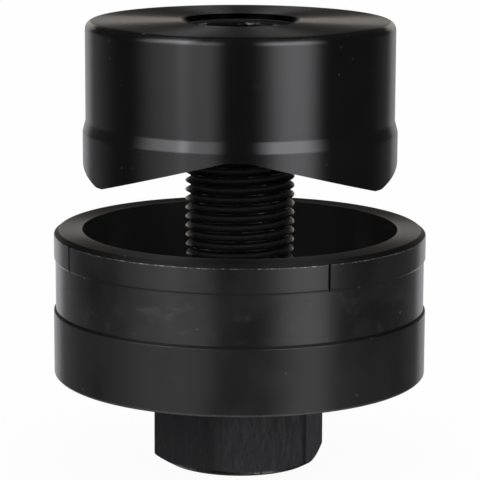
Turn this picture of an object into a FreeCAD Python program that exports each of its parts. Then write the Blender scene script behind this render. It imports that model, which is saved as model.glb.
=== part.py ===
"""A screw-operated hole punch for sheet metal: a punch with three tips, pulled into a cup-shaped die by a draw screw.

Millimetres, +Z up along the tool's axis. The origin is the middle of the hex head's underside, on which the tool
stands. At rest the punch is a sheet's width clear of the die, with one valley of its cutting face towards -Y.
"""

import FreeCAD
import Part
import math
import os

from FreeCAD import Vector

# Draw screw: 3/4 inch fine thread, drawn plain at its major diameter, and a 27 mm hex head
SCREW_DIA = 19.05
SCREW_LENGTH = 60.0  # under the head
SCREW_END_CHAMFER = 1.2
WRENCH_SIZE = 27.0  # across the flats
HEAD_HEIGHT = 12.4  # with the washer face
HEAD_CORNER_ROUND = 1.8
HEAD_CHAMFER_INSET = 0.75  # from the flats to the rim of the end face
HEAD_CHAMFER_ANGLE = 30.0
HEAD_TURN = 16.6  # degrees from +X to a corner
WASHER_FACE_HEIGHT = 0.4
WASHER_FACE_INSET = 0.5  # from the flats

# Thrust bearing between the head and the die: two races, a cage and needle rollers
RACE_THICKNESS = 1.0
RACE_MARGIN = 3.9  # from the rollers' middle circle to a race's rim
LOWER_RACE_FIT = 0.1  # round the screw
UPPER_RACE_FIT = 0.5
ROLLER_COUNT = 16
ROLLER_DIA = 2.0
ROLLER_LENGTH = 4.6
ROLLER_CLEARANCE = 0.02  # above and below each roller
ROLLER_CIRCLE_GAP = 4.1  # from the screw to the rollers' middle circle
POCKET_CLEARANCE = 0.1
CAGE_THICKNESS = 1.7
CAGE_INNER_MARGIN = 3.4
CAGE_OUTER_MARGIN = 3.8

# Snap ring that keeps the bearing on the screw
RING_THICKNESS = 1.2
RING_STAND = 1.5  # how far it stands out of the screw
RING_GROOVE_DEPTH = 0.6
RING_FIT = 0.04
RING_PLAY = 0.3  # above the upper race
RING_SLOT = 3.0

# Punch
HOLE_DIA = 54.0  # the hole it cuts, and its land
PUNCH_HEIGHT = 27.2  # from the tips' sharp corners to the top face
LAND_LENGTH = 8.3  # from the tips to the taper
TAPER_LENGTH = 1.9
BODY_RELIEF = 0.5  # the body's radius is this much under the land's
TOP_ROUND = 1.5
TOP_ROUND_FACETS = 3
TIP_COUNT = 3
FLANK_TILT = 15.0  # degrees, of each flat flank of the cutting face
TIP_BLUNT = 0.25
PUNCH_TURN = -91.0  # degrees from +X to a valley
THREAD_FIT = 0.05  # punch bore round the screw
COUNTERSINK = 0.85
LEAD_IN_GAP = 1.0  # clear bore round the screw at the cutting face
LEAD_IN_RISE = 1.5  # its depth over the middle of the cutting face

# Die
CUTTING_CLEARANCE = 0.2  # between the land and the die's bore
DIE_WALL = 5.0
CUP_DEPTH = 12.6
FLOOR_THICKNESS = 11.8  # over the bearing's seat
COLLAR_HEIGHT = 5.2
COLLAR_INSET = 0.1
WAIST_HEIGHT = 8.4
WAIST_INSET = 0.35
STEP_CHAMFER = 0.45  # the height of the bevels beside the waist
RIM_CHAMFER_WIDTH = 0.9
RIM_CHAMFER_HEIGHT = 0.7
FOOT_CHAMFER = 0.4
CUP_CORNER_BEVEL = 1.0
DIE_HOLE_FIT = 0.475  # round the screw
DIE_HOLE_CHAMFER = 0.6
SEAT_FIT = 0.1  # round the upper race
RING_ROOM = 0.4  # round and above the snap ring
MARK_COUNT = 4
MARK_WIDTH = 0.35
MARK_DEPTH = 0.4
MARK_TURN = 27.0  # degrees from +X to a mark

SHEET_GAP = 8.8  # from the die's rim to the punch's tips

# Radii that follow from them
screw_r = SCREW_DIA / 2
roller_circle_r = screw_r + ROLLER_CIRCLE_GAP
race_r = roller_circle_r + RACE_MARGIN
ring_r = screw_r + RING_STAND
land_r = HOLE_DIA / 2
body_r = land_r - BODY_RELIEF
die_bore_r = land_r + CUTTING_CLEARANCE
die_r = die_bore_r + DIE_WALL
collar_r = die_r - COLLAR_INSET
waist_r = die_r - WAIST_INSET
seat_r = race_r + SEAT_FIT

# Heights, from the head upwards
lower_race_z = HEAD_HEIGHT
roller_z = lower_race_z + RACE_THICKNESS + ROLLER_CLEARANCE + ROLLER_DIA / 2
upper_race_z = roller_z + ROLLER_DIA / 2 + ROLLER_CLEARANCE
die_z = upper_race_z
seat_z = upper_race_z + RACE_THICKNESS
ring_z = seat_z + RING_PLAY
ring_room_z = ring_z + RING_THICKNESS + RING_ROOM
cup_floor_z = seat_z + FLOOR_THICKNESS
rim_z = cup_floor_z + CUP_DEPTH
collar_z = rim_z - COLLAR_HEIGHT
waist_z = collar_z - WAIST_HEIGHT
tip_z = rim_z + SHEET_GAP
face_z = tip_z + land_r * math.tan(math.radians(FLANK_TILT)) / 2
punch_top_z = tip_z + PUNCH_HEIGHT
screw_end_z = HEAD_HEIGHT + SCREW_LENGTH


def turned(outline):
    """The solid swept by a closed outline of (radius, height) points round the axis."""
    points = [Vector(r, 0, z) for r, z in outline]
    face = Part.Face(Part.makePolygon(points + points[:1]))
    return face.revolve(Vector(0, 0, 0), Vector(0, 0, 1), 360)


def tube(inner_r, outer_r, z, height):
    return turned([(inner_r, z), (outer_r, z), (outer_r, z + height), (inner_r, z + height)])


def quarter_round(r, z, size, facets):
    """The points of a rounded outer corner that would be sharp at (r, z), from its side to its top."""
    steps = [math.radians(90 * n / facets) for n in range(facets + 1)]
    return [(r - size + size * math.cos(a), z - size + size * math.sin(a)) for a in steps]


def about_axis(shape, degrees):
    copy = shape.copy()
    copy.rotate(Vector(0, 0, 0), Vector(0, 0, 1), degrees)
    return copy


def hex_head():
    corner_r = WRENCH_SIZE / 2 / math.cos(math.radians(30))
    corners = [
        Vector(corner_r * math.cos(math.radians(a)), corner_r * math.sin(math.radians(a)), 0)
        for a in range(0, 360, 60)
    ]
    hex_height = HEAD_HEIGHT - WASHER_FACE_HEIGHT
    hexagon = Part.Face(Part.makePolygon(corners + corners[:1]))
    prism = hexagon.extrude(Vector(0, 0, hex_height))
    upright = [e for e in prism.Edges if e.BoundBox.ZLength > hex_height / 2]
    prism = prism.makeFillet(HEAD_CORNER_ROUND, upright)
    end_r = WRENCH_SIZE / 2 - HEAD_CHAMFER_INSET
    chamfer_height = (corner_r - end_r) * math.tan(math.radians(HEAD_CHAMFER_ANGLE))
    envelope = turned([(0, 0), (end_r, 0), (corner_r, chamfer_height), (corner_r, hex_height), (0, hex_height)])
    return about_axis(prism.common(envelope), HEAD_TURN)


def draw_screw():
    washer_face_r = WRENCH_SIZE / 2 - WASHER_FACE_INSET
    groove_r = screw_r - RING_GROOVE_DEPTH
    groove_low = ring_z - RING_FIT
    groove_high = ring_z + RING_THICKNESS + RING_FIT
    washer_face_z = HEAD_HEIGHT - WASHER_FACE_HEIGHT
    shank = turned(
        [
            (0, washer_face_z / 2),
            (screw_r, washer_face_z / 2),
            (screw_r, washer_face_z),
            (washer_face_r, washer_face_z),
            (washer_face_r, HEAD_HEIGHT),
            (screw_r, HEAD_HEIGHT),
            (screw_r, groove_low),
            (groove_r, groove_low),
            (groove_r, groove_high),
            (screw_r, groove_high),
            (screw_r, screw_end_z - SCREW_END_CHAMFER),
            (screw_r - SCREW_END_CHAMFER, screw_end_z),
            (0, screw_end_z),
        ]
    )
    return hex_head().fuse(shank).removeSplitter()


def lower_race():
    return tube(screw_r + LOWER_RACE_FIT, race_r, lower_race_z, RACE_THICKNESS)


def upper_race():
    return tube(screw_r + UPPER_RACE_FIT, race_r, upper_race_z, RACE_THICKNESS)


def roller(number):
    start = Vector(roller_circle_r - ROLLER_LENGTH / 2, 0, roller_z)
    pin = Part.makeCylinder(ROLLER_DIA / 2, ROLLER_LENGTH, start, Vector(1, 0, 0))
    return about_axis(pin, number * 360 / ROLLER_COUNT)


def roller_cage():
    cage_z = roller_z - CAGE_THICKNESS / 2
    ring = tube(roller_circle_r - CAGE_INNER_MARGIN, roller_circle_r + CAGE_OUTER_MARGIN, cage_z, CAGE_THICKNESS)
    length = ROLLER_LENGTH + 2 * POCKET_CLEARANCE
    width = ROLLER_DIA + 2 * POCKET_CLEARANCE
    corner = Vector(roller_circle_r - length / 2, -width / 2, cage_z - CAGE_THICKNESS)
    pocket = Part.makeBox(length, width, 3 * CAGE_THICKNESS, corner)
    return ring.cut([about_axis(pocket, n * 360 / ROLLER_COUNT) for n in range(ROLLER_COUNT)])


def snap_ring():
    ring = tube(screw_r - RING_GROOVE_DEPTH + RING_FIT, ring_r, ring_z, RING_THICKNESS)
    slot = Part.makeBox(2 * ring_r, RING_SLOT, 3 * RING_THICKNESS, Vector(0, -RING_SLOT / 2, ring_z - RING_THICKNESS))
    return ring.cut(slot)


def valley_cutter(degrees):
    """A gabled prism under one valley of the cutting face. Its ridge rises outwards at half the flanks' slope."""
    slope = math.tan(math.radians(FLANK_TILT))
    reach = 2 * land_r
    ridge_z = face_z - reach * slope / 2
    eave_z = ridge_z - reach * slope * math.cos(math.radians(30))
    base_z = eave_z - reach
    gable = [
        Vector(-reach, 0, ridge_z),
        Vector(-reach, reach, eave_z),
        Vector(-reach, reach, base_z),
        Vector(-reach, -reach, base_z),
        Vector(-reach, -reach, eave_z),
    ]
    face = Part.Face(Part.makePolygon(gable + gable[:1]))
    return about_axis(face.extrude(Vector(2 * reach, 0, reach * slope)), degrees)


def punch():
    bore_r = screw_r + THREAD_FIT
    land_top_z = tip_z + LAND_LENGTH
    body_z = land_top_z + TAPER_LENGTH
    blank = turned(
        [
            (bore_r, tip_z + TIP_BLUNT),
            (land_r, tip_z + TIP_BLUNT),
            (land_r, land_top_z),
            (body_r, body_z),
            *quarter_round(body_r, punch_top_z, TOP_ROUND, TOP_ROUND_FACETS),
            (bore_r + COUNTERSINK, punch_top_z),
            (bore_r, punch_top_z - COUNTERSINK),
        ]
    )
    lead_in = Part.makeCylinder(screw_r + LEAD_IN_GAP, face_z + LEAD_IN_RISE - tip_z, Vector(0, 0, tip_z))
    valleys = [valley_cutter(PUNCH_TURN + n * 360 / TIP_COUNT) for n in range(TIP_COUNT)]
    return blank.cut([lead_in] + valleys).removeSplitter()


def die():
    hole_r = screw_r + DIE_HOLE_FIT
    ring_room_r = ring_r + RING_ROOM
    body = turned(
        [
            (seat_r, die_z),
            (die_r - FOOT_CHAMFER, die_z),
            (die_r, die_z + FOOT_CHAMFER),
            (die_r, waist_z - STEP_CHAMFER),
            (waist_r, waist_z),
            (waist_r, collar_z),
            (collar_r, collar_z + STEP_CHAMFER),
            (collar_r, rim_z - RIM_CHAMFER_HEIGHT),
            (collar_r - RIM_CHAMFER_WIDTH, rim_z),
            (die_bore_r, rim_z),
            (die_bore_r, cup_floor_z + CUP_CORNER_BEVEL),
            (die_bore_r - CUP_CORNER_BEVEL, cup_floor_z),
            (hole_r + DIE_HOLE_CHAMFER, cup_floor_z),
            (hole_r, cup_floor_z - DIE_HOLE_CHAMFER),
            (hole_r, ring_room_z),
            (ring_room_r, ring_room_z),
            (ring_room_r, seat_z),
            (seat_r, seat_z),
        ]
    )
    corner = Vector(collar_r - MARK_DEPTH, -MARK_WIDTH / 2, collar_z)
    mark = Part.makeBox(2 * MARK_DEPTH, MARK_WIDTH, COLLAR_HEIGHT, corner)
    return body.cut([about_axis(mark, MARK_TURN + n * 360 / MARK_COUNT) for n in range(MARK_COUNT)])


pieces = {
    "draw_screw": draw_screw(),
    "lower_race": lower_race(),
    "roller_cage": roller_cage(),
    "upper_race": upper_race(),
    "snap_ring": snap_ring(),
    "die": die(),
    "punch": punch(),
}
for n in range(ROLLER_COUNT):
    pieces[f"roller_{n + 1:02d}"] = roller(n)

os.makedirs("parts", exist_ok=True)
for name, piece in pieces.items():
    if not piece.isValid() or len(piece.Solids) != 1:
        raise ValueError(f"{name} is not one valid solid")
    piece.exportStep(f"parts/{name}.step")
    box = piece.BoundBox
    print(f"{name}: {piece.Volume:.1f} mm3, z {box.ZMin:.2f} to {box.ZMax:.2f}, x to {box.XMax:.2f}")
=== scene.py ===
"""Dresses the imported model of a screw-operated hole punch for sheet metal: turned and blackened
steel, cut threads and a ground thrust bearing.

Metres, with +Z up along the tool's axis and the origin under the hex head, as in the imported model.
The tool is laid out as an add-on: sizes and finishes are properties, each group of pieces has its
operator, and main runs them all.
"""

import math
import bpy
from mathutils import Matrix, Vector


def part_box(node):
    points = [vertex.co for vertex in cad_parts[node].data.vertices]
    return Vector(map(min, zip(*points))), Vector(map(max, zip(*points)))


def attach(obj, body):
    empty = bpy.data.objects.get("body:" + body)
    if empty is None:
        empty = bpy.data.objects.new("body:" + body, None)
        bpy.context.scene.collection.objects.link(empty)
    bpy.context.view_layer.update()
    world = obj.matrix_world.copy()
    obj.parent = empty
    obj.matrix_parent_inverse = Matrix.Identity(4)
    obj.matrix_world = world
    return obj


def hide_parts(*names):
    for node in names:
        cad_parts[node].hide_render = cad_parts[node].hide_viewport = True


bl_info = {
    "name": "Sheet Metal Hole Punch",
    "version": (1, 0, 0),
    "blender": (4, 5, 0),
    "location": "3D View > Sidebar > Hole Punch",
    "description": "Builds the punch, die, draw screw and thrust bearing of a hole punch for sheet metal",
    "category": "Add Mesh",
}

import bmesh
import bpy
from bpy.props import FloatProperty, FloatVectorProperty, IntProperty, PointerProperty
from mathutils import Matrix, Vector

MM = 0.001
SAME_PLACE = 0.0001 * MM
# How far a piece reaches into the one that it stands in
OVERLAP = 0.02 * MM
# A rounded corner gets one more facet for each of these in its rounding
ARC_STEP = 0.25 * MM
HEAD_EDGE = 0.12 * MM
GROOVE_EDGE = 0.05 * MM
NUT_CREST_EDGE = 0.08 * MM
NUT_GROOVE_EDGE = 0.04 * MM
# How far the shank and the thread's start are over the snap ring's groove
SHANK_END = 0.25 * MM
THREAD_START = 0.2 * MM
# Inner radii of lathed pieces that are hidden in another or nearly solid
SHANK_CORE = 0.5 * MM
ROLLER_CORE = 0.02 * MM
# Facets round the axis
PUNCH_STEPS = 192
MARK_GAP_STEPS = 56
SHANK_STEPS = 96
RACE_STEPS = 128
ROLLER_STEPS = 24
# Edges sharper than this keep their crease
CREASE = math.radians(32)
# Half the angle between two corners of a hexagon
HALF_SIDE = math.radians(30)

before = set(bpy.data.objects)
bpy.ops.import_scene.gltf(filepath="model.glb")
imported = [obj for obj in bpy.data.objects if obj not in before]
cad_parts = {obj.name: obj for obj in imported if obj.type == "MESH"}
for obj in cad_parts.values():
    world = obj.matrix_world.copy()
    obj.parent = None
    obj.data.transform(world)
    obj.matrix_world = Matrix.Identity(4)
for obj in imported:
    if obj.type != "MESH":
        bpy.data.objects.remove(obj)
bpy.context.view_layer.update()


def radius_of(node):
    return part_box(node)[1][0]


def bottom_of(node):
    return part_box(node)[0][2]


def top_of(node):
    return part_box(node)[1][2]


def rollers():
    return sorted(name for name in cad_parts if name.removeprefix("roller_").isdigit())


def length(name, description, millimetres):
    """A property that holds a length, with its default in millimetres."""
    return FloatProperty(
        name=name,
        description=description,
        default=millimetres * MM,
        unit="LENGTH",
        precision=5,
    )


def angle(name, description, degrees):
    turn = math.radians(degrees)
    return FloatProperty(name=name, description=description, default=turn, subtype="ANGLE")


def share(name, description, amount):
    return FloatProperty(
        name=name,
        description=description,
        default=amount,
        min=0,
        max=1,
        subtype="FACTOR",
    )


def colour(name, description, red, green, blue):
    tint = (red, green, blue)
    return FloatVectorProperty(name=name, description=description, default=tint, subtype="COLOR")


class PunchSizes(bpy.types.PropertyGroup):
    land_length: length("Land", "From the sharp corners of the tips to the taper", 8.3)
    taper_length: length("Taper", "Height of the cone between the land and the body", 1.9)
    relief: length("Relief", "How much the body's radius is under the land's", 0.5)
    top_round: length("Top round", "Radius of the round at the top face", 1.5)
    tips: IntProperty(name="Tips", description="Tips on the cutting face", default=3, min=2)
    flank_tilt: angle("Flank tilt", "Slope of each flat flank of the cutting face", 15)
    valley_turn: angle("Valley", "Angle from +X to a valley of the cutting face", -91)
    tip_blunt: length("Tip flat", "How much of each tip's corner is ground away", 0.25)
    bore: length("Bore", "Radius of the bore behind the thread", 9.575)
    countersink: length("Countersink", "Depth and width of the bevel at the top of the bore", 0.85)
    lead_in: length("Lead-in", "Radius of the clear bore at the cutting face", 10.525)
    lead_in_rise: length("Lead-in rise", "Depth of the clear bore in the cutting face", 1.5)
    edge: length("Edges", "Rounding of the turned edges", 0.14)


class DieSizes(bpy.types.PropertyGroup):
    bore: length("Bore", "Radius of the cup", 27.2)
    floor: length("Floor", "Thickness of the floor over the bearing's seat", 11.8)
    corner: length("Corner", "Bevel between the cup's wall and its floor", 1.0)
    collar_height: length("Collar height", "Height of the band at the rim", 5.2)
    collar_inset: length("Collar inset", "How much the collar's radius is under the foot band's", 0.1)
    waist_height: length("Waist height", "Height of the middle band", 8.4)
    waist_inset: length("Waist inset", "How much the waist's radius is under the foot band's", 0.35)
    step: length("Steps", "Height of the bevels beside the waist", 0.45)
    rim_width: length("Rim bevel width", "Width of the bevel round the rim", 0.9)
    rim_height: length("Rim bevel height", "Height of the bevel round the rim", 0.7)
    foot: length("Foot bevel", "Bevel at the lower edge", 0.4)
    hole: length("Hole", "Radius of the clear hole for the screw", 10.0)
    hole_bevel: length("Hole bevel", "Bevel at the hole's upper edge", 0.6)
    seat_fit: length("Seat fit", "Clearance round the upper race", 0.1)
    ring_room: length("Ring room", "Clearance round and above the snap ring", 0.4)
    marks: IntProperty(name="Marks", description="Scribed lines down the collar", default=4, min=1)
    mark_turn: angle("Mark turn", "Angle from +X to a mark", 27)
    mark_width: length("Mark width", "Width of each mark", 0.5)
    mark_depth: length("Mark depth", "Depth of each mark", 0.4)
    edge: length("Edges", "Rounding of the turned edges", 0.12)


class ScrewSizes(bpy.types.PropertyGroup):
    pitch: length("Pitch", "Rise of the thread in one turn", 25.4 / 16)
    crest: length("Crest", "Radius over the thread's crests", 9.42)
    root: length("Root", "Radius at the thread's roots", 8.5)
    crest_flat: length("Crest flat", "Width of each crest", 0.12)
    flank: angle("Flank", "Slope of the thread's flanks", 30)
    clearance: length("Clearance", "Gap between the screw's flanks and the punch's", 0.06)
    nut_crest: length("Nut crest", "Radius inside the punch's thread", 8.7)
    shank: length("Shank", "Radius of the plain shank under the thread", 9.5)
    wrench: length("Wrench size", "Across the flats of the head", 27)
    head_height: length("Head height", "Height of the head with its washer face", 12.4)
    head_turn: angle("Head turn", "Angle from +X to a corner of the head", 16.6)
    corner_round: length("Corner round", "Radius of the head's upright corners", 1.8)
    end_inset: length("End inset", "From the flats to the rim of the end face", 0.75)
    end_slope: angle("End slope", "Slope of the head's bevel", 30)
    washer_height: length("Washer face height", "Height of the washer face", 0.4)
    washer_inset: length("Washer face inset", "From the flats to the washer face", 0.5)
    groove: length("Groove", "Depth of the snap ring's groove", 0.6)
    end_bevel: length("End bevel", "Bevel at the end of the thread", 1.2)
    turn_steps: IntProperty(
        name="Turn steps",
        description="Facets in one turn of the thread",
        default=72,
        min=12,
    )


class BearingSizes(bpy.types.PropertyGroup):
    lower_bore: length("Lower bore", "Bore radius of the lower race", 9.625)
    upper_bore: length("Upper bore", "Bore radius of the upper race", 10.025)
    race_edge: length("Race edges", "Rounding of the races' edges", 0.15)
    roller_edge: length("Roller edges", "Rounding of the rollers' ends", 0.25)


class Finishes(bpy.types.PropertyGroup):
    # Also painted on the die as shade: on its ledge, its rim's bevel, its scribed marks and its flat faces.
    oxide: colour("Oxide", "The oiled black oxide of the punch and the cup", 0.0043, 0.0043, 0.0044)
    warm_oxide: colour("Warm oxide", "The oxide where it is thin and brownish", 0.0060, 0.0054, 0.0050)
    grey_oxide: colour("Grey oxide", "The greyer oxide of the die's outside", 0.0185, 0.0185, 0.0190)
    bolt_oxide: colour("Bolt oxide", "The dull black of the hex head", 0.0075, 0.0073, 0.0078)
    blue_oxide: colour("Blue oxide", "The bluish patches of the hex head", 0.0080, 0.0085, 0.0150)
    # Painted light: the cup's inside is given a lighter black than the oxide, which lifts the shade that
    # falls in the cup.
    cup_oxide_with_painted_light: colour("Cup oxide", "The even black inside the die's cup", 0.030, 0.030, 0.030)
    thread_oxide: colour("Thread oxide", "The deep black of the threads' crests", 0.0058, 0.0058, 0.0059)
    # Painted light: the threads' roots get a lighter black than their crests, which lifts the shade that
    # falls in the roots.
    root_oxide_with_painted_light: colour("Root oxide", "The duller black in the threads' roots", 0.018, 0.018, 0.0185)
    # Also the colour of the painted glints on the threads' crests and of the painted reflection along the
    # die's lower edge.
    bare_steel: colour("Bare steel", "Steel where an edge has lost its black", 0.34, 0.33, 0.31)
    ground_steel: colour("Ground steel", "Hardened and ground races and rollers", 0.58, 0.57, 0.55)
    cage_steel: colour("Cage steel", "Pressed steel of the roller cage", 0.40, 0.37, 0.33)
    spring_steel: colour("Spring steel", "Blued steel of the snap ring", 0.10, 0.11, 0.15)
    wall_roughness: share("Wall roughness", "Roughness of the turned walls", 0.20)
    face_roughness: share("Face roughness", "Roughness of the turned flat faces", 0.5)
    turned_grain: share("Turned grain", "How much the turning marks stretch a highlight", 0.95)


class Studio(bpy.types.PropertyGroup):
    camera_place: FloatVectorProperty(
        name="Camera place",
        description="Where the camera stands",
        default=(0.038 * MM, -433.57 * MM, 123.66 * MM),
        subtype="TRANSLATION",
        unit="LENGTH",
    )
    camera_tilt: angle("Camera tilt", "How far the camera looks down", 11.094)
    camera_roll: angle("Camera roll", "How far the camera leans to its left", 0.213)
    lens: FloatProperty(name="Lens", description="Focal length in millimetres", default=191.45, min=1)
    floor_size: length("Floor size", "Width of the floor", 12000)
    floor_gap: length("Floor gap", "How far the floor is under the head", 0.02)
    floor_shade: share("Floor shade", "How much of the tool's shadow shows on the floor", 0.04)


class Value:
    """A number or a vector that a shader works out. Arithmetic on it adds Math nodes."""

    def __init__(self, graph, socket):
        self.graph = graph
        self.socket = socket

    def __add__(self, other):
        return self.graph.maths("ADD", self, other)

    def __sub__(self, other):
        return self.graph.maths("SUBTRACT", self, other)

    def __rsub__(self, other):
        return self.graph.maths("SUBTRACT", other, self)

    def __mul__(self, other):
        return self.graph.maths("MULTIPLY", self, other)

    def __pow__(self, other):
        return self.graph.maths("POWER", self, other)

    def __abs__(self):
        return self.graph.maths("ABSOLUTE", self)

    __radd__ = __add__


class Graph:
    """A node tree written as expressions. Every node comes from add."""

    def __init__(self, tree):
        tree.nodes.clear()
        self.tree = tree

    def add(self, kind, settings=None, sockets=None):
        node = self.tree.nodes.new(kind)
        for key, setting in (settings or {}).items():
            setattr(node, key, setting)
        for key, value in (sockets or {}).items():
            if isinstance(value, Value):
                self.tree.links.new(value.socket, node.inputs[key])
            else:
                node.inputs[key].default_value = value
        return node

    def value(self, kind, settings=None, sockets=None, output=0):
        return Value(self, self.add(kind, settings, sockets).outputs[output])

    def maths(self, operation, *numbers):
        return self.value("ShaderNodeMath", {"operation": operation}, dict(enumerate(numbers)))

    def smooth(self, number, low, high):
        """0 below low and 1 above high, with a soft step between. With low over high it falls instead."""
        ends = {0: number, 1: low, 2: high}
        return self.value("ShaderNodeMapRange", {"interpolation_type": "SMOOTHSTEP"}, ends)

    def stretched(self, vector, x, y, z):
        return self.value("ShaderNodeVectorMath", {"operation": "MULTIPLY"}, {0: vector, 1: (x, y, z)})

    def mixed(self, factor, a, b):
        """Colour a where the factor is 0 and b where it is 1."""
        return self.value("ShaderNodeMix", {"data_type": "RGBA"}, {0: factor, 6: a, 7: b}, 2)

    def noise(self, vector, scale, detail=2.0, roughness=0.5):
        sockets = {"Vector": vector, "Scale": scale, "Detail": detail, "Roughness": roughness}
        return self.value("ShaderNodeTexNoise", None, sockets)


class Surface(Graph):
    """A material's nodes, with where a point lies on the tool in millimetres."""

    def __init__(self, name):
        self.material = bpy.data.materials.new(name)
        self.material.use_nodes = True
        super().__init__(self.material.node_tree)
        place = self.value("ShaderNodeTexCoord", None, None, "Object")
        self.place = self.stretched(place, 1 / MM, 1 / MM, 1 / MM)
        parts = self.add("ShaderNodeSeparateXYZ", None, {0: self.place})
        self.x, self.y, self.z = (Value(self, output) for output in parts.outputs)
        self.radius = self.maths("SQRT", self.x * self.x + self.y * self.y)
        normal = self.value("ShaderNodeTexCoord", None, None, "Normal")
        self.facing = abs(self.value("ShaderNodeSeparateXYZ", None, {0: normal}, 2))

    def flat(self):
        """1 on faces that look along the axis and 0 on walls."""
        return self.smooth(self.facing, 0.8, 0.97)

    def rings(self, scale, detail=3.0):
        """Noise that runs round the axis, as a lathe tool leaves it on walls and faces alike."""
        where = self.value("ShaderNodeCombineXYZ", None, {0: self.radius, 1: self.z})
        return self.noise(where, scale, detail, 0.65)

    def near_circle(self, radius, height, width):
        """1 on a circle round the axis, fading to 0 at the given distance from it. All in millimetres."""
        away = self.maths("SQRT", (self.radius - radius) ** 2 + (self.z - height) ** 2)
        return self.smooth(away, width, 0)

    def away_from(self, x, y, z):
        """Distance from a point on the tool, in millimetres."""
        return self.maths("SQRT", (self.x - x) ** 2 + (self.y - y) ** 2 + (self.z - z) ** 2)

    def specks(self, spacing, kept):
        """Small dots a few millimetres apart, of which the given share is kept."""
        cells = self.add("ShaderNodeTexVoronoi", None, {"Vector": self.place, "Scale": 1 / spacing})
        distance = Value(self, cells.outputs["Distance"])
        tint = Value(self, cells.outputs["Color"])
        chance = self.value("ShaderNodeSeparateXYZ", None, {0: tint})
        return self.smooth(distance, 0.13, 0.08) * self.smooth(chance, kept, kept - 0.02)

    def bumped(self, height, distance):
        sockets = {"Height": height, "Strength": 1.0, "Distance": distance}
        return self.value("ShaderNodeBump", None, sockets)

    def finish(self, **sockets):
        """Ends the material in a Principled shader whose sockets are named in lower case."""
        named = {key.replace("_", " ").title(): value for key, value in sockets.items()}
        named = {key.replace("Ior", "IOR"): value for key, value in named.items()}
        shader = self.add("ShaderNodeBsdfPrincipled", None, named)
        output = self.add("ShaderNodeOutputMaterial")
        self.tree.links.new(shader.outputs[0], output.inputs[0])
        return self.material


def opaque(tint):
    return (*tint, 1.0)


def oiled_oxide(s, finishes, oxide, bare, wall_roughness, relief, ior, film, matt):
    """Ends a turned and blackened surface: flat faces show broad rings, and walls a tight gloss.

    The film is a thin coat of oil, which shows at a glancing angle. Matt places hardly reflect.
    """
    face = s.flat()
    on_walls = (1 - face) * wall_roughness
    roughness = s.maths("MAXIMUM", face * finishes.face_roughness, on_walls)
    return s.finish(
        base_color=s.mixed(bare, oxide, opaque(finishes.bare_steel)),
        roughness=roughness,
        metallic=s.maths("MAXIMUM", bare * 0.8, matt),
        ior=ior,
        anisotropic=finishes.turned_grain,
        anisotropic_rotation=0.25,
        coat_weight=film,
        coat_roughness=0.12,
        coat_ior=1.3,
        normal=s.bumped(relief, 0.004 * MM),
    )


def punch_steel(finishes, sizes):
    """Black oxide on the turned punch, with pale specks and a rubbed top edge. Its bore is dull."""
    s = Surface("Blackened tool steel, punch")
    bore_edge = (sizes.bore + sizes.countersink) / MM
    into_round = 0.35
    top_edge_r = (radius_of("punch") - sizes.relief) / MM - into_round
    top_edge_z = top_of("punch") / MM - into_round
    cloud = s.noise(s.place, 0.06, 3)
    speckle = s.noise(s.place, 4.2, 2, 0.7)
    streak = s.noise(s.stretched(s.place, 0.12, 0.12, 1.6), 1.0, 4, 0.6)
    groove = s.rings(2.6, 5)
    face = s.flat()
    fleck = s.smooth(speckle, 0.72, 0.76) * 0.08 + s.specks(2.0, 0.3) * (0.07 + face * 0.93)
    broken = s.smooth(s.noise(s.place, 2.2, 3, 0.75), 0.56, 0.66)
    wear = s.near_circle(top_edge_r, top_edge_z, 0.2) * broken
    bare = s.maths("MINIMUM", wear + fleck, 1.0)
    warmth = s.smooth(cloud, 0.42, 0.72)
    oxide = s.mixed(warmth, opaque(finishes.oxide), opaque(finishes.warm_oxide))
    matt = s.smooth(s.radius, bore_edge + 0.25, bore_edge + 0.1)
    roughness = finishes.wall_roughness + groove * 0.05 + cloud * 0.02 + matt * 0.2
    relief = groove * 0.5 + streak * 0.15 + speckle * 0.1
    return oiled_oxide(s, finishes, oxide, bare, roughness, relief, 1.8, 0.0, matt)


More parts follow.
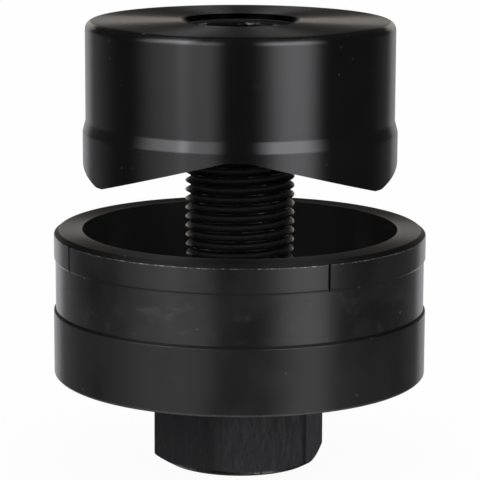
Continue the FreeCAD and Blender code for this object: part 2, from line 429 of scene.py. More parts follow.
def die_steel(finishes, sizes):
    """Greyer oxide on the die: its foot is duller, and its waist has scuffs and cloudy finger marks.

    The ledge under the waist, the bevel at the rim and the scribed marks get painted shade: they are black,
    rougher and without oil.
    """
    s = Surface("Blackened tool steel, die")
    die_r = radius_of("die") / MM
    foot_z = bottom_of("die") / MM
    rim_z = top_of("die") / MM
    foot_edge = sizes.foot / MM / 2
    step = sizes.step / MM
    collar_r = die_r - sizes.collar_inset / MM
    rim_r = collar_r - sizes.rim_width / MM
    mark_r = collar_r - 0.1
    bore_r = sizes.bore / MM
    collar_z = rim_z - sizes.collar_height / MM
    waist_z = collar_z - sizes.waist_height / MM
    bevel_z = rim_z - sizes.rim_height / MM
    mark_z = collar_z + step

    cloud = s.noise(s.place, 0.10, 3)
    speckle = s.noise(s.place, 3.6, 3, 0.7)
    scuff = s.noise(s.stretched(s.place, 0.22, 0.22, 2.6), 1.0, 4, 0.6)
    smear = s.noise(s.stretched(s.place, 0.25, 0.25, 0.42), 1.0, 4, 0.62)
    upright = s.noise(s.stretched(s.place, 2.4, 2.4, 0.3), 1.0, 3, 0.6)
    groove = s.rings(2.6, 5)

    wall = s.smooth(s.radius, rim_r - 1.2, rim_r - 0.2)
    foot = s.smooth(s.z, waist_z - 0.2, waist_z - 0.6) * wall
    waist = s.smooth(s.z, waist_z, waist_z + 0.6) * s.smooth(s.z, collar_z, collar_z - 0.6) * wall
    # The cup's inside is smoother, and its colour is painted lighter there, against the shade in the cup.
    inside = s.smooth(s.radius, bore_r + 1.4, bore_r + 0.1) * s.smooth(s.z, foot_z, foot_z + 1)
    face = s.flat()
    # Painted shade: the ledge, the rim's bevel and the scribed marks are painted black, for the shade and
    # the dark reflections in them.
    ledge = s.smooth(s.z, waist_z - step, waist_z - step + 0.1) * s.smooth(s.z, waist_z + 0.1, waist_z)
    bevel = s.smooth(s.z, bevel_z, bevel_z + 0.12) * s.smooth(s.facing, 0.96, 0.86)
    scribed = s.smooth(s.radius, mark_r, mark_r - 0.15) * s.smooth(s.radius, rim_r - 2.2, rim_r - 2.0)
    scribed *= s.smooth(s.z, mark_z, mark_z + 0.1) * s.smooth(s.z, bevel_z, bevel_z - 0.1)
    shadowed = s.maths("MAXIMUM", (ledge + bevel) * wall, scribed)

    touched = s.smooth(s.away_from(-11.5, -28.5, waist_z + 4), 11, 3)
    smudge = s.smooth(smear, 0.52, 0.72) + s.smooth(scuff, 0.58, 0.74) * 0.5
    smudge *= waist * (0.6 + touched)
    fleck = (s.smooth(speckle, 0.70, 0.76) + s.specks(2.4, 0.25) * 1.5) * wall
    broken = s.smooth(s.noise(s.place, 1.7, 4, 0.75), 0.47, 0.62)
    wear = s.near_circle(collar_r, bevel_z, 0.14) * broken
    # Wear and painted reflection: a faint pale line round the foot's lower edge stands in for the lit
    # floor's reflection, with worn specks along it.
    heel_wear_and_painted_reflection = s.near_circle(die_r - foot_edge, foot_z + foot_edge, 0.5)
    heel_wear_and_painted_reflection *= 0.2 + s.smooth(speckle, 0.54, 0.62) * 0.5
    scratch = s.smooth(upright, 0.66, 0.74) * s.smooth(smear, 0.5, 0.6) * waist
    rubbed = wear + heel_wear_and_painted_reflection + fleck * 0.10 + scratch * 0.12 + smudge * 0.05
    bare = s.maths("MINIMUM", rubbed, 1.0) * (1 - scribed)

    # Random darker clouds, and painted shade: the flat faces, such as the rim's top, are painted in the
    # darker oxide.
    mottle_and_face_shade = s.maths("MAXIMUM", s.smooth(cloud, 0.42, 0.66) * 0.5, face * 0.7)
    grey = s.mixed(mottle_and_face_shade, opaque(finishes.grey_oxide), opaque(finishes.oxide))
    # Painted shade on the ledge, the rim's bevel and the marks.
    outside = s.mixed(shadowed, grey, opaque(finishes.oxide))
    # Painted light: the cup's inside gets its lighter black.
    oxide = s.mixed(inside, outside, opaque(finishes.cup_oxide_with_painted_light))
    roughness = finishes.wall_roughness + 0.10 - inside * 0.2 + foot * 0.36
    roughness += groove * 0.06 + smudge * 0.16 + shadowed * 0.4
    relief = groove * 0.5 + scuff * 0.3 + speckle * 0.3
    film = (1 - inside) * (1 - shadowed) * (1 - face)
    return oiled_oxide(s, finishes, oxide, bare, roughness, relief, 1.5, film, 0.0)


def rolled_black_steel(finishes, sizes):
    """The hex head's bluish black, with upright scores from its bar, pits and a chipped lower rim."""
    s = Surface("Blackened bolt steel, head")
    rim_r = sizes.wrench / 2 / MM
    rim_z = sizes.end_inset * math.tan(sizes.end_slope) / MM
    score = s.noise(s.stretched(s.place, 1.5, 1.5, 0.26), 1.0, 5, 0.7)
    grain = s.noise(s.place, 2.6, 4, 0.7)
    patch = s.noise(s.place, 0.16, 2)
    pit = s.smooth(s.noise(s.stretched(s.place, 1.3, 1.3, 0.4), 1.0, 4, 0.65), 0.52, 0.62)
    rubbed = s.smooth(score, 0.46, 0.66) * (1 - pit)
    rim = s.near_circle(rim_r, rim_z, 0.55) * s.smooth(grain, 0.46, 0.52)
    bluish = s.smooth(patch, 0.42, 0.62)
    oxide = s.mixed(bluish, opaque(finishes.bolt_oxide), opaque(finishes.blue_oxide))
    pitted = s.mixed(pit * 0.55, oxide, opaque(finishes.oxide))
    bare = s.maths("MINIMUM", rubbed * 0.025 + rim, 1.0)
    return s.finish(
        base_color=s.mixed(bare, pitted, opaque(finishes.bare_steel)),
        roughness=0.52 + grain * 0.2 - rubbed * 0.12,
        metallic=rim * 0.2,
        ior=1.6,
        normal=s.bumped(score * 0.6 + grain * 0.5 - pit * 0.6, 0.06 * MM),
    )


def cut_thread(name, finishes, root_radius, flank_radius, crest_radius, rubbed):
    """The oily black of a thread, rougher towards its root, where its colour is also painted lighter against
    the shade there, and rubbed pale here and there on its crests, as wear and as painted glints.

    The radii are in millimetres.
    """
    s = Surface(name)
    grain = s.noise(s.place, 1.3, 4, 0.7)
    around = s.noise(s.stretched(s.place, 0.35, 0.35, 1.2), 1.0, 3, 0.6)
    # Wear and painted glints: pale rubbed patches on the crests, which also stand in for their glints.
    crest = s.smooth(s.radius, flank_radius, crest_radius) * s.smooth(around, 0.54, 0.66) * rubbed
    # Painted light: towards the roots, where shade falls, the black is lighter.
    deep = s.smooth(s.radius, crest_radius, root_radius)
    oxide = s.mixed(deep, opaque(finishes.thread_oxide), opaque(finishes.root_oxide_with_painted_light))
    return s.finish(
        base_color=s.mixed(crest, oxide, opaque(finishes.bare_steel)),
        roughness=0.13 + deep * 0.45 + grain * 0.1,
        metallic=crest * 0.4,
        ior=1.3,
        normal=s.bumped(grain, 0.005 * MM),
    )


def ground_steel(name, finishes):
    """Hardened steel with fine ground rings and a thin film of grease."""
    s = Surface(name)
    grease = s.smooth(s.noise(s.place, 0.5, 3), 0.45, 0.7)
    tint = s.mixed(grease, opaque(finishes.ground_steel), opaque(finishes.cage_steel))
    return s.finish(
        base_color=tint,
        metallic=1.0,
        roughness=0.16 + s.rings(5.0) * 0.14 + grease * 0.1,
        normal=s.bumped(s.rings(6.0), 0.001 * MM),
    )


def pressed_steel(name, tint):
    """Plain pressed steel, faintly mottled."""
    s = Surface(name)
    mottle = s.noise(s.place, 1.6, 4, 0.65)
    shade = s.mixed(mottle, opaque(tint * 0.7), opaque(tint * 1.2))
    return s.finish(
        base_color=shade,
        metallic=1.0,
        roughness=0.28 + mottle * 0.2,
        normal=s.bumped(mottle, 0.004 * MM),
    )


def rounded_outline(outline, closed=True):
    """A bmesh of (radius, height, rounding) corners joined in the XZ plane, each rounded as it says."""
    bm = bmesh.new()
    corners = [bm.verts.new((r, 0, z)) for r, z, _ in outline]
    ends = corners[1:] + corners[:1] if closed else corners[1:]
    for a, b in zip(corners, ends):
        bm.edges.new((a, b))
    for corner, (_, _, rounding) in zip(corners, outline):
        if rounding:
            steps = 2 + round(rounding / ARC_STEP)
            bmesh.ops.bevel(
                bm,
                geom=[corner],
                offset=rounding,
                offset_type="OFFSET",
                segments=steps,
                profile=0.5,
                affect="VERTICES",
                material=-1,
            )
    return bm


def swept(bm, arcs, start=0.0, rise=0.0):
    """Turns an outline round Z to its start angle, then sweeps it through each (angle, steps) arc."""
    bmesh.ops.rotate(bm, verts=bm.verts, cent=(0, 0, 0), matrix=Matrix.Rotation(start, 3, "Z"))
    line = bm.verts[:] + bm.edges[:]
    for turn, steps in arcs:
        made = bmesh.ops.spin(
            bm,
            geom=line,
            cent=(0, 0, 0),
            axis=(0, 0, 1),
            dvec=(0, 0, rise / steps),
            angle=turn,
            steps=steps,
            use_merge=False,
            use_normal_flip=False,
            use_duplicate=False,
        )
        line = made["geom_last"]
    bmesh.ops.remove_doubles(bm, verts=bm.verts, dist=SAME_PLACE)
    bmesh.ops.recalc_face_normals(bm, faces=bm.faces)
    return bm


def lathe(outline, steps):
    return swept(rounded_outline(outline), [(math.tau, steps)])


def piece(name, bm, material, body, slot, *nodes):
    """Makes a finished piece that rides on a body and stands for CAD nodes.

    Its normals are weighted by area, so that walls stay flat up to their rounded edges.
    """
    bmesh.ops.recalc_face_normals(bm, faces=bm.faces)
    mesh = bpy.data.meshes.new(name)
    bm.to_mesh(mesh)
    bm.free()
    mesh.shade_smooth()
    mesh.set_sharp_from_angle(angle=CREASE)
    mesh.materials.append(material)
    made = bpy.data.objects.new(name, mesh)
    bpy.context.collection.objects.link(made)
    shading = made.modifiers.new("Weighted normals", "WEIGHTED_NORMAL")
    shading.mode = "FACE_AREA"
    shading.keep_sharp = True
    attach(made, body)
    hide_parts(*nodes)
    return made


def cutting_face_height(place, sizes, middle):
    """The height of the cutting face at a place: flat flanks fall from each valley to the tips beside it."""
    sector = math.tau / sizes.tips
    from_valley = (math.atan2(place.y, place.x) - sizes.valley_turn) % sector
    from_valley = min(from_valley, sector - from_valley)
    slope = math.tan(sizes.flank_tilt)
    return middle - place.xy.length * slope * math.cos(sector - from_valley)


def punch_mesh(sizes):
    land_r = radius_of("punch")
    body_r = land_r - sizes.relief
    top = top_of("punch")
    tip_z = bottom_of("punch") - sizes.tip_blunt
    middle = tip_z + land_r * math.tan(sizes.flank_tilt) / 2
    lead_in_z = middle + sizes.lead_in_rise
    land_z = tip_z + sizes.land_length
    bm = rounded_outline(
        [
            (sizes.lead_in, tip_z, 0),
            (land_r, tip_z, 0),
            (land_r, land_z, sizes.edge),
            (body_r, land_z + sizes.taper_length, sizes.edge),
            (body_r, top, sizes.top_round),
            (sizes.bore + sizes.countersink, top, sizes.edge),
            (sizes.bore, top - sizes.countersink, 0),
            (sizes.bore, lead_in_z, 0),
            (sizes.lead_in, lead_in_z, 0),
        ]
    )
    swept(bm, [(math.tau, PUNCH_STEPS)], sizes.valley_turn)
    for vert in bm.verts:
        if vert.co.z < tip_z + SAME_PLACE:
            vert.co.z = cutting_face_height(vert.co, sizes, middle)
    flat_z = bottom_of("punch")
    cut = bmesh.ops.bisect_plane(
        bm,
        geom=bm.verts[:] + bm.edges[:] + bm.faces[:],
        dist=SAME_PLACE,
        plane_co=(0, 0, flat_z),
        plane_no=(0, 0, -1),
        clear_outer=True,
    )
    rims = [e for e in cut["geom_cut"] if isinstance(e, bmesh.types.BMEdge)]
    bmesh.ops.holes_fill(bm, edges=rims)
    return bm


def die_mesh(sizes):
    die_r = radius_of("die")
    low = bottom_of("die")
    rim_z = top_of("die")
    collar_r = die_r - sizes.collar_inset
    waist_r = die_r - sizes.waist_inset
    collar_z = rim_z - sizes.collar_height
    waist_z = collar_z - sizes.waist_height
    mark_r = collar_r - sizes.mark_depth
    rim_r = collar_r - sizes.rim_width
    mark_z = rim_z - sizes.rim_height * (mark_r - rim_r) / sizes.rim_width
    seat_r = radius_of("upper_race") + sizes.seat_fit
    seat_z = top_of("upper_race")
    ring_r = radius_of("snap_ring") + sizes.ring_room
    ring_z = top_of("snap_ring") + sizes.ring_room
    floor_z = seat_z + sizes.floor
    edge = sizes.edge
    bm = rounded_outline(
        [
            (seat_r, low, edge),
            (die_r - sizes.foot, low, edge),
            (die_r, low + sizes.foot, edge),
            (die_r, waist_z - sizes.step, edge),
            (waist_r, waist_z, edge),
            (waist_r, collar_z, 0),
            (collar_r, collar_z + sizes.step, edge),
            (collar_r, rim_z - sizes.rim_height, edge),
            (mark_r, mark_z, 0),
            (rim_r, rim_z, edge),
            (sizes.bore, rim_z, edge / 2),
            (sizes.bore, floor_z + sizes.corner, sizes.corner / 3),
            (sizes.bore - sizes.corner, floor_z, sizes.corner / 3),
            (sizes.hole + sizes.hole_bevel, floor_z, edge),
            (sizes.hole, floor_z - sizes.hole_bevel, 0),
            (sizes.hole, ring_z, 0),
            (ring_r, ring_z, 0),
            (ring_r, seat_z, 0),
            (seat_r, seat_z, 0),
        ]
    )
    half_mark = sizes.mark_width / collar_r / 2
    gap = math.tau / sizes.marks - 2 * half_mark
    arcs = [(2 * half_mark, 1), (gap, MARK_GAP_STEPS)] * sizes.marks
    swept(bm, arcs, sizes.mark_turn - half_mark)
    sink_marks(bm, sizes, half_mark, mark_r, collar_z, mark_z)
    return bm


def sink_marks(bm, sizes, half_mark, mark_r, low, high):
    """Pushes the narrow strips of the collar in to the marks' depth."""
    strips = []
    for face in bm.faces:
        middle = face.calc_center_median()
        turn = (math.atan2(middle.y, middle.x) - sizes.mark_turn) % (math.tau / sizes.marks)
        in_strip = turn < half_mark / 2 or turn > math.tau / sizes.marks - half_mark / 2
        if in_strip and low < middle.z < high and middle.xy.length > mark_r:
            strips.append(face)
    made = bmesh.ops.extrude_face_region(bm, geom=strips)["geom"]
    bmesh.ops.delete(bm, geom=strips, context="FACES")
    for vert in made:
        if isinstance(vert, bmesh.types.BMVert):
            vert.co.xy = vert.co.xy.normalized() * mark_r
    bmesh.ops.remove_doubles(bm, verts=bm.verts, dist=SAME_PLACE)


def head_mesh(sizes):
    """The hex head, its end bevelled by a cone, with the washer face above."""
    flats_r = sizes.wrench / 2
    end_r = flats_r - sizes.end_inset
    washer_z = sizes.head_height - sizes.washer_height
    bm = bmesh.new()
    bmesh.ops.create_circle(bm, segments=6, radius=flats_r / math.cos(HALF_SIDE))
    setback = sizes.corner_round * math.tan(HALF_SIDE)
    bmesh.ops.bevel(
        bm,
        geom=bm.verts[:],
        offset=setback,
        offset_type="OFFSET",
        segments=8,
        profile=0.5,
        affect="VERTICES",
        material=-1,
    )
    flats = [e for e in bm.edges if e.calc_length() > flats_r / 2]
    bmesh.ops.subdivide_edges(bm, edges=flats, cuts=15)
    outline = bm.edges[:]
    for vert in bm.verts:
        vert.co.z = (vert.co.xy.length - end_r) * math.tan(sizes.end_slope)
    ring_to(bm, outline, end_r, 0)
    upper = ring_to(bm, outline, None, washer_z)
    washer = ring_to(bm, upper, flats_r - sizes.washer_inset, washer_z)
    ring_to(bm, washer, flats_r - sizes.washer_inset, sizes.head_height)
    bmesh.ops.holes_fill(bm, edges=[e for e in bm.edges if e.is_boundary])
    turn = Matrix.Rotation(sizes.head_turn - HALF_SIDE, 3, "Z")
    bmesh.ops.rotate(bm, verts=bm.verts, cent=(0, 0, 0), matrix=turn)
    bmesh.ops.recalc_face_normals(bm, faces=bm.faces)
    sharp = [e for e in bm.edges if e.calc_face_angle() > math.radians(20)]
    bmesh.ops.bevel(
        bm,
        geom=sharp,
        offset=HEAD_EDGE,
        offset_type="OFFSET",
        segments=2,
        profile=0.5,
        affect="EDGES",
        material=-1,
    )
    return bm


def ring_to(bm, edges, radius, height):
    """Extrudes a ring of edges to a height, and to a radius if one is given. Returns the new ring."""
    made = bmesh.ops.extrude_edge_only(bm, edges=edges)["geom"]
    for part in made:
        if isinstance(part, bmesh.types.BMVert):
            part.co.z = height
            if radius:
                part.co.xy = part.co.xy.normalized() * radius
    return [part for part in made if isinstance(part, bmesh.types.BMEdge)]


def helix(tooth, sizes, low, high):
    """A thread's surface between two heights: the outline of one tooth swept round and up the axis."""
    turns = math.ceil((high - low) / sizes.pitch) + 3
    start_z = (math.floor(low / sizes.pitch) - 1) * sizes.pitch
    bm = rounded_outline([(r, start_z + z, rounding) for r, z, rounding in tooth], closed=False)
    swept(bm, [(math.tau, sizes.turn_steps)], 0, sizes.pitch)
    turn = bm.verts[:] + bm.edges[:] + bm.faces[:]
    for n in range(1, turns):
        made = bmesh.ops.duplicate(bm, geom=turn)["geom"]
        verts = [part for part in made if isinstance(part, bmesh.types.BMVert)]
        bmesh.ops.translate(bm, vec=(0, 0, n * sizes.pitch), verts=verts)
    bmesh.ops.remove_doubles(bm, verts=bm.verts, dist=SAME_PLACE)
    for height, up in ((low, -1), (high, 1)):
        bmesh.ops.bisect_plane(
            bm,
            geom=bm.verts[:] + bm.edges[:] + bm.faces[:],
            dist=SAME_PLACE,
            plane_co=(0, 0, height),
            plane_no=(0, 0, up),
            clear_outer=True,
        )
    return bm


def sliced(bm, heights):
    """Adds an edge loop at each height, so that a cone can be turned on a thread."""
    for height in heights:
        bmesh.ops.bisect_plane(
            bm,
            geom=bm.verts[:] + bm.edges[:] + bm.faces[:],
            dist=SAME_PLACE,
            plane_co=(0, 0, height),
            plane_no=(0, 0, 1),
        )


def tooth_half_width(sizes, radius):
    """Half the height of the screw's tooth at a radius."""
    return sizes.crest_flat / 2 + (sizes.crest - radius) * math.tan(sizes.flank)


def screw_thread_mesh(sizes):
    low = top_of("snap_ring") + THREAD_START
    high = top_of("draw_screw")
    pitch = sizes.pitch
    root_half = pitch / 2 - tooth_half_width(sizes, sizes.root)
    crest_half = sizes.crest_flat / 2
    root_round = root_half * 0.8
    crest_round = crest_half * 0.8
    tooth = [
        (sizes.root, 0, 0),
        (sizes.root, root_half, root_round),
        (sizes.crest, pitch / 2 - crest_half, crest_round),
        (sizes.crest, pitch / 2 + crest_half, crest_round),
        (sizes.root, pitch - root_half, root_round),
        (sizes.root, pitch, 0),
    ]
    bm = helix(tooth, sizes, low, high)
    bevel_z = high - sizes.end_bevel
    sliced(bm, [bevel_z + sizes.end_bevel * n / 6 for n in range(6)])
    for vert in bm.verts:
        limit = sizes.crest - max(0, vert.co.z - bevel_z)
        if vert.co.xy.length > limit:
            vert.co.xy = vert.co.xy.normalized() * limit
    bmesh.ops.holes_fill(bm, edges=[e for e in bm.edges if e.is_boundary])
    return bm


def punch_thread_mesh(sizes, punch):
    """The sleeve of thread inside the punch, cut back by the countersink at its top."""
    tip_z = bottom_of("punch") - punch.tip_blunt
    middle = tip_z + radius_of("punch") * math.tan(punch.flank_tilt) / 2
    low = middle + punch.lead_in_rise + OVERLAP
    high = top_of("punch") - punch.countersink
    pitch = sizes.pitch
    groove_r = punch.bore - OVERLAP
    groove_half = tooth_half_width(sizes, groove_r) + sizes.clearance
    crest_half = pitch / 2 - tooth_half_width(sizes, sizes.nut_crest) - sizes.clearance
    tooth = [
        (sizes.nut_crest, 0, 0),
        (sizes.nut_crest, crest_half, NUT_CREST_EDGE),
        (groove_r, pitch / 2 - groove_half, NUT_GROOVE_EDGE),
        (groove_r, pitch / 2 + groove_half, NUT_GROOVE_EDGE),
        (sizes.nut_crest, pitch - crest_half, NUT_CREST_EDGE),
        (sizes.nut_crest, pitch, 0),
    ]
    bm = helix(tooth, sizes, low, high)
    depth = groove_r - sizes.nut_crest
    sliced(bm, [high - depth * n / 5 for n in range(1, 6)])
    for vert in bm.verts:
        limit = groove_r - (high - vert.co.z)
        if vert.co.xy.length < limit:
            vert.co.xy = vert.co.xy.normalized() * limit
    add_wall(bm, punch.bore + OVERLAP, low, high, sizes.turn_steps)
    for height in (low, high):
        rims = [e for e in bm.edges if e.is_boundary and abs(e.verts[0].co.z - height) < SAME_PLACE]
        bmesh.ops.triangle_fill(bm, edges=rims, use_beauty=True, normal=(0, 0, 1))
    return bm


def add_wall(bm, radius, low, high, steps):
    """Adds a plain round wall to a bmesh."""
    place = Matrix.Translation((0, 0, low))
    made = bmesh.ops.create_circle(bm, segments=steps, radius=radius, matrix=place)
    edges = list({edge for vert in made["verts"] for edge in vert.link_edges})
    ring_to(bm, edges, None, high)


class HOLEPUNCH_OT_punch(bpy.types.Operator):
    """Builds the punch and the thread in its bore"""

    bl_idname = "holepunch.punch"
    bl_label = "Punch"

    def execute(self, context):
        sizes = context.scene.hole_punch_punch
        screw = context.scene.hole_punch_screw
        finishes = context.scene.hole_punch_finishes
        steel = punch_steel(finishes, sizes)
        piece("punch_body", punch_mesh(sizes), steel, "punch", "blackened_tool_steel", "punch")
        root = sizes.bore / MM
        crest = screw.nut_crest / MM
        # The last number is how much the crests are rubbed pale, as wear and as painted glints.
        thread = cut_thread("Cut thread, punch", finishes, root, crest + 0.5, crest + 0.1, 1.0)
        mesh = punch_thread_mesh(screw, sizes)
        piece("punch_thread", mesh, thread, "punch", "blackened_tool_steel", "punch")
        return {"FINISHED"}


class HOLEPUNCH_OT_die(bpy.types.Operator):
    """Builds the cup-shaped die"""

    bl_idname = "holepunch.die"
    bl_label = "Die"

    def execute(self, context):
        sizes = context.scene.hole_punch_die
        finishes = context.scene.hole_punch_finishes
        steel = die_steel(finishes, sizes)
        piece("die_body", die_mesh(sizes), steel, "die", "blackened_tool_steel", "die")
        return {"FINISHED"}


class HOLEPUNCH_OT_draw_screw(bpy.types.Operator):
    """Builds the draw screw: hex head, grooved shank and thread"""

    bl_idname = "holepunch.draw_screw"
    bl_label = "Draw screw"

    def execute(self, context):
        sizes = context.scene.hole_punch_screw
        finishes = context.scene.hole_punch_finishes
        slot = "blackened_bolt_steel"
        head = rolled_black_steel(finishes, sizes)
        name = "Cut thread, draw screw"
        root = sizes.root / MM
        crest = sizes.crest / MM
        # The last number is how much the crests are rubbed pale, as wear and as painted glints.
        thread = cut_thread(name, finishes, root, crest - 0.08, crest - 0.01, 0.35)
        shank_low = sizes.head_height - sizes.washer_height
        shank_high = top_of("snap_ring") + SHANK_END
        groove_r = sizes.shank - sizes.groove
        shank = [
            (SHANK_CORE, shank_low, 0),
            (sizes.shank, shank_low, 0),
            (sizes.shank, bottom_of("snap_ring"), GROOVE_EDGE),
            (groove_r, bottom_of("snap_ring"), 0),
            (groove_r, top_of("snap_ring"), 0),
            (sizes.shank, top_of("snap_ring"), GROOVE_EDGE),
            (sizes.shank, shank_high, GROOVE_EDGE),
            (SHANK_CORE, shank_high, 0),
        ]
        piece("draw_screw_head", head_mesh(sizes), head, "draw_screw", slot, "draw_screw")
        piece("draw_screw_shank", lathe(shank, SHANK_STEPS), thread, "draw_screw", slot, "draw_screw")
        piece("draw_screw_thread", screw_thread_mesh(sizes), thread, "draw_screw", slot, "draw_screw")
        return {"FINISHED"}


class HOLEPUNCH_OT_bearing(bpy.types.Operator):
    """Builds the races and rollers, and finishes the cage and the snap ring"""

    bl_idname = "holepunch.bearing"
    bl_label = "Thrust bearing"

    def execute(self, context):
        sizes = context.scene.hole_punch_bearing
        finishes = context.scene.hole_punch_finishes
        ground = ground_steel("Ground bearing steel", finishes)
        cage = pressed_steel("Pressed cage steel", Vector(finishes.cage_steel))
        spring = pressed_steel("Blued spring steel", Vector(finishes.spring_steel))
        for node, bore, body in (
            ("lower_race", sizes.lower_bore, "draw_screw"),
            ("upper_race", sizes.upper_bore, "die"),
        ):
            low, high, edge = bottom_of(node), top_of(node), sizes.race_edge
            outer = radius_of(node)
            corners = ((bore, low), (outer, low), (outer, high), (bore, high))
            outline = [(r, z, edge) for r, z in corners]
            piece(f"{node}_ring", lathe(outline, RACE_STEPS), ground, body, "bearing_steel", node)
        for node in rollers():
            mesh = roller_mesh(node, sizes.roller_edge)
            piece(f"{node}_pin", mesh, ground, node, "bearing_steel", node)
        for node, steel in (("roller_cage", cage), ("snap_ring", spring)):
            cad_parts[node].data.materials.clear()
            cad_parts[node].data.materials.append(steel)
        return {"FINISHED"}


def roller_mesh(node, edge):
    """A needle roller with rounded ends, laid along its own radius of the bearing."""
    low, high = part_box(node)
    centre = (Vector(low) + Vector(high)) / 2
    first_low, first_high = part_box(rollers()[0])
    half = (first_high[0] - first_low[0]) / 2
    radius = (first_high[2] - first_low[2]) / 2
    outline = [
        (ROLLER_CORE, -half, 0),
        (radius, -half, edge),
        (radius, half, edge),
        (ROLLER_CORE, half, 0),
    ]
    bm = lathe(outline, ROLLER_STEPS)
    turn = Matrix.Rotation(math.atan2(centre.y, centre.x), 4, "Z")
    lie = Matrix.Translation(centre) @ turn @ Matrix.Rotation(math.pi / 2, 4, "Y")
    bmesh.ops.transform(bm, matrix=lie, verts=bm.verts)
    return bm


class HOLEPUNCH_OT_stage(bpy.types.Operator):
    """Sets up the floor, the studio's panels of light and the camera"""

    bl_idname = "holepunch.stage"
    bl_label = "Stage"

    def execute(self, context):
        studio = context.scene.hole_punch_studio
        context.scene.view_settings.view_transform = "Standard"
        add_floor(studio)
        light_studio(context.scene)
        add_camera(context.scene, studio)
        return {"FINISHED"}


def add_floor(studio):
    """A pale floor that keeps the tool's soft shadow. Reflections pass it, to the panels of light."""
    mesh = bpy.data.meshes.new("floor")
    bm = bmesh.new()
    place = Matrix.Translation((0, 0, -studio.floor_gap))
    bmesh.ops.create_grid(bm, x_segments=1, y_segments=1, size=studio.floor_size / 2, matrix=place)
    bm.to_mesh(mesh)
    bm.free()
    material = bpy.data.materials.new("Pale floor")
    material.use_nodes = True
    g = Graph(material.node_tree)
    card = g.add("ShaderNodeBsdfDiffuse", None, {"Color": (0.8, 0.8, 0.8, 1)})
    glow = g.add("ShaderNodeEmission", None, {"Color": (1, 1, 1, 1), "Strength": 1.0})
    seen = g.value("ShaderNodeLightPath", None, None, "Is Camera Ray") * (1 - studio.floor_shade)
    blend = g.add("ShaderNodeMixShader", None, {0: seen})
    output = g.add("ShaderNodeOutputMaterial")
    g.tree.links.new(card.outputs[0], blend.inputs[1])
    g.tree.links.new(glow.outputs[0], blend.inputs[2])
    g.tree.links.new(blend.outputs[0], output.inputs[0])
    mesh.materials.append(material)
    floor = bpy.data.objects.new("floor", mesh)
    floor.visible_glossy = False
    floor.visible_shadow = False
    bpy.context.collection.objects.link(floor)


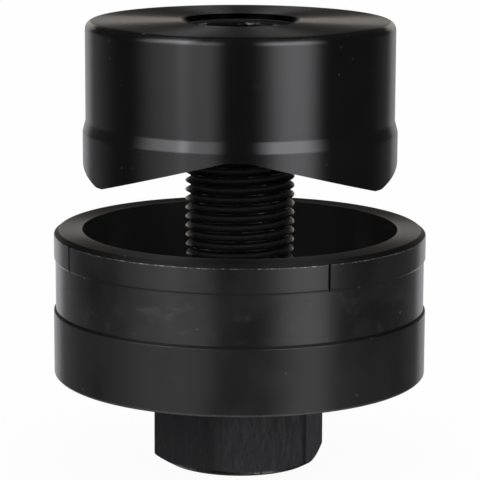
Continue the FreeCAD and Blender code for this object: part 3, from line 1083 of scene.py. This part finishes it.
def light_studio(scene):
    """An even white surround, in which gloss shows panels in front and a pale band behind.

    A panel is given by the degrees over which its left side, right side and height fade in.
    """
    world = bpy.data.worlds.new("Studio")
    world.use_nodes = True
    world.cycles.sampling_method = "NONE"
    scene.world = world
    g = Graph(world.node_tree)
    direction = g.value("ShaderNodeTexCoord", None, None, "Generated")
    parts = g.add("ShaderNodeSeparateXYZ", None, {0: direction})
    x, y, z = (Value(g, output) for output in parts.outputs)
    azimuth = g.maths("ARCTAN2", x, y * -1) * math.degrees(1)
    elevation = g.maths("ARCSINE", z) * math.degrees(1)
    away = abs(azimuth)

    def between(angle, start, end):
        return g.smooth(angle, *start) * g.smooth(angle, *end)

    lower = between(elevation, (-55, -25), (14, 0))
    upper = between(elevation, (0, 14), (44, 34))
    above = between(elevation, (20, 30), (60, 46))
    band = g.smooth(away, 140, 155) * between(elevation, (-1, 4), (20, 15))
    rear = g.smooth(away, 177, 169) * between(elevation, (-40, -25), (4, -2))
    sides = g.smooth(azimuth, -138, -152) * 0.34 + g.smooth(azimuth, 138, 152) * 0.34
    sides += g.smooth(azimuth, -98, -140) * 0.17 + g.smooth(azimuth, 110, 142) * 0.09
    level = band * 0.62 + sides * rear + 0.022
    for left, right, height, strength in (
        ((-90, -30), (-9, -25), lower, 0.41),
        ((-88, -66), (-9, -24), upper, 1.5),
        ((-49, -43), (-37, -43), upper, 1.8),
        ((-78, -56), (-32, -48), above, 2.2),
        ((16, 38), (65, 47), lower, 0.9),
        ((8, 29), (70, 46), upper, 3.0),
    ):
        level += between(azimuth, left, right) * height * strength
    warmth = g.smooth(away, 115, 140) * g.smooth(elevation, -1, 3)
    tint = g.mixed(warmth, (1, 0.98, 1.02, 1), (1.09, 1, 0.93, 1))
    studio_light = g.add("ShaderNodeBackground", None, {0: tint, 1: level})
    surround = g.add("ShaderNodeBackground", None, {0: (1, 1, 1, 1), 1: 1.0})
    seen = g.value("ShaderNodeLightPath", None, None, "Is Camera Ray")
    even = g.value("ShaderNodeLightPath", None, None, "Is Diffuse Ray")
    blend = g.add("ShaderNodeMixShader", None, {0: seen + even})
    output = g.add("ShaderNodeOutputWorld")
    g.tree.links.new(studio_light.outputs[0], blend.inputs[1])
    g.tree.links.new(surround.outputs[0], blend.inputs[2])
    g.tree.links.new(blend.outputs[0], output.inputs[0])


def add_camera(scene, studio):
    data = bpy.data.cameras.new("camera")
    data.lens = studio.lens
    data.clip_start = 0.01
    data.clip_end = 100
    camera = bpy.data.objects.new("camera", data)
    aim = Matrix.Rotation(math.pi / 2 - studio.camera_tilt, 4, "X")
    roll = Matrix.Rotation(studio.camera_roll, 4, "Z")
    camera.matrix_world = Matrix.Translation(studio.camera_place) @ aim @ roll
    scene.collection.objects.link(camera)
    scene.camera = camera


OPERATORS = (
    HOLEPUNCH_OT_punch,
    HOLEPUNCH_OT_die,
    HOLEPUNCH_OT_draw_screw,
    HOLEPUNCH_OT_bearing,
    HOLEPUNCH_OT_stage,
)
SETTINGS = {
    "hole_punch_punch": PunchSizes,
    "hole_punch_die": DieSizes,
    "hole_punch_screw": ScrewSizes,
    "hole_punch_bearing": BearingSizes,
    "hole_punch_finishes": Finishes,
    "hole_punch_studio": Studio,
}


class HOLEPUNCH_PT_tools(bpy.types.Panel):
    """Lists the operators of the hole punch"""

    bl_label = "Hole Punch"
    bl_idname = "HOLEPUNCH_PT_tools"
    bl_space_type = "VIEW_3D"
    bl_region_type = "UI"
    bl_category = "Hole Punch"

    def draw(self, context):
        for operator in OPERATORS:
            self.layout.operator(operator.bl_idname)
        for name in SETTINGS:
            settings = getattr(context.scene, name)
            box = self.layout.box()
            for key in settings.__annotations__:
                box.prop(settings, key)


CLASSES = (*SETTINGS.values(), *OPERATORS, HOLEPUNCH_PT_tools)


def register():
    for cls in CLASSES:
        bpy.utils.register_class(cls)
    for name, group in SETTINGS.items():
        setattr(bpy.types.Scene, name, PointerProperty(type=group))


def unregister():
    for name in SETTINGS:
        delattr(bpy.types.Scene, name)
    for cls in reversed(CLASSES):
        bpy.utils.unregister_class(cls)


def main():
    register()
    bpy.ops.holepunch.punch()
    bpy.ops.holepunch.die()
    bpy.ops.holepunch.draw_screw()
    bpy.ops.holepunch.bearing()
    bpy.ops.holepunch.stage()


if __name__ == "__main__":
    main()
